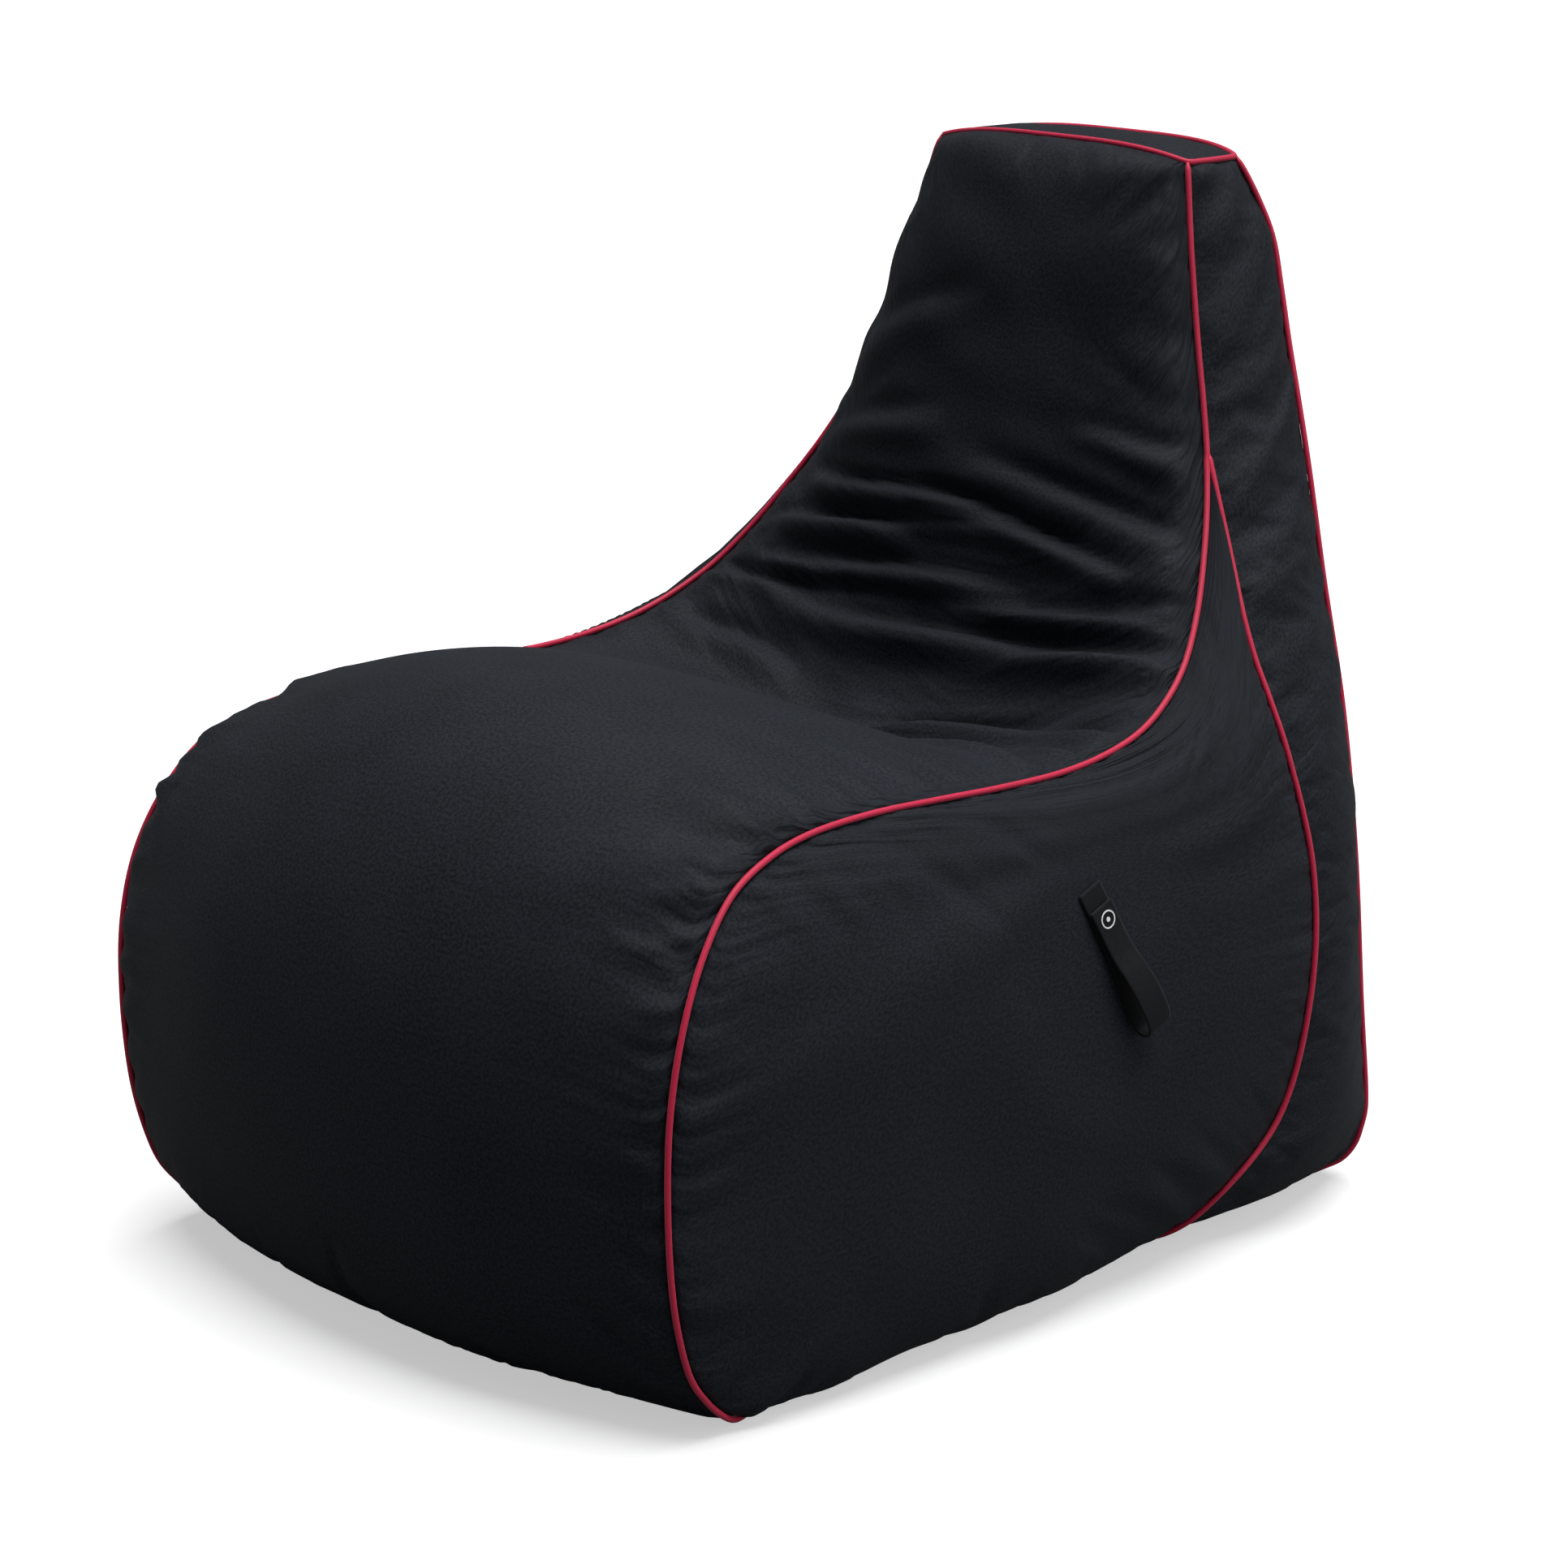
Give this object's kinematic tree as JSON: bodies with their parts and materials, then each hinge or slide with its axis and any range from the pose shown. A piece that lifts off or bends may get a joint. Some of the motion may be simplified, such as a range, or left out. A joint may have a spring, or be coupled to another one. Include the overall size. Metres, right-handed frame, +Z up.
{
  "type": "bean bag chair",
  "caption": "High-backed bean bag chair: piped fabric cover with a scooped seat, filled liner inside, a filling zip low on the back and a headset strap on one side.",
  "frame": {"origin": "on the floor, under the middle of the chair's overall box", "axes": "+Z up, -Y the way the sitter faces, +X towards the side with the headset strap"},
  "size_m": [0.7757, 0.9394, 0.884],
  "materials": {
    "cover_fabric": "matte woven polyester",
    "base_fabric": "coarse matte polyester",
    "piping_fabric": "satin woven",
    "webbing": "woven webbing",
    "hook_and_loop": "napped",
    "zip_tape": "woven tape",
    "zip_coil": "nylon",
    "zip_metal": "dark enamel",
    "badge_print": "soft white print",
    "liner_fabric": "thin plain weave",
    "beads": "expanded polystyrene"
  },
  "bodies": {
    "cover": {"seat_panel": "cover_fabric", "back_panel": "cover_fabric", "lower_back_panel": "cover_fabric", "top_panel": "cover_fabric", "side_panel_right": "cover_fabric", "side_panel_left": "cover_fabric", "rear_gusset_right": "cover_fabric", "rear_gusset_left": "cover_fabric", "base_panel": "base_fabric", "front_piping_right": "piping_fabric", "front_piping_left": "piping_fabric", "side_piping_right": "piping_fabric", "side_piping_left": "piping_fabric", "back_piping_right": "piping_fabric", "back_piping_left": "piping_fabric", "top_piping": "piping_fabric", "zip_tape_upper": "zip_tape", "zip_tape_lower": "zip_tape", "zip_coil_upper": "zip_coil", "zip_coil_lower": "zip_coil", "zip_stop_right": "zip_metal", "zip_stop_left": "zip_metal", "inner_liner": "liner_fabric", "bead_filling": "beads", "strap_anchor": "webbing"},
    "zip_pull": {"zip_slider": "zip_metal"},
    "strap_back": {"strap_back_run": "webbing", "strap_hook_pad": "hook_and_loop"},
    "strap_front": {"strap_front_run": "webbing", "strap_loop_pad": "hook_and_loop", "strap_badge_ring": "badge_print", "strap_badge_dot": "badge_print"}
  },
  "joints": [
    {"name": "zip_slide", "type": "slide", "parent": "cover", "child": "zip_pull", "axis": [1, 0, 0], "range_m": [0, 0.444]},
    {"name": "strap_swing", "type": "hinge", "parent": "cover", "child": "strap_back", "pos_m": [0.36374, 0.019, 0.34562], "axis": [0, -0.9272, -0.3746], "range_deg": [0, 80]},
    {"name": "flap_open", "type": "hinge", "parent": "strap_back", "child": "strap_front", "pos_m": [0.3891, 0.06143, 0.24061], "axis": [0, 0.9272, 0.3746], "range_deg": [0, 75]}
  ]
}
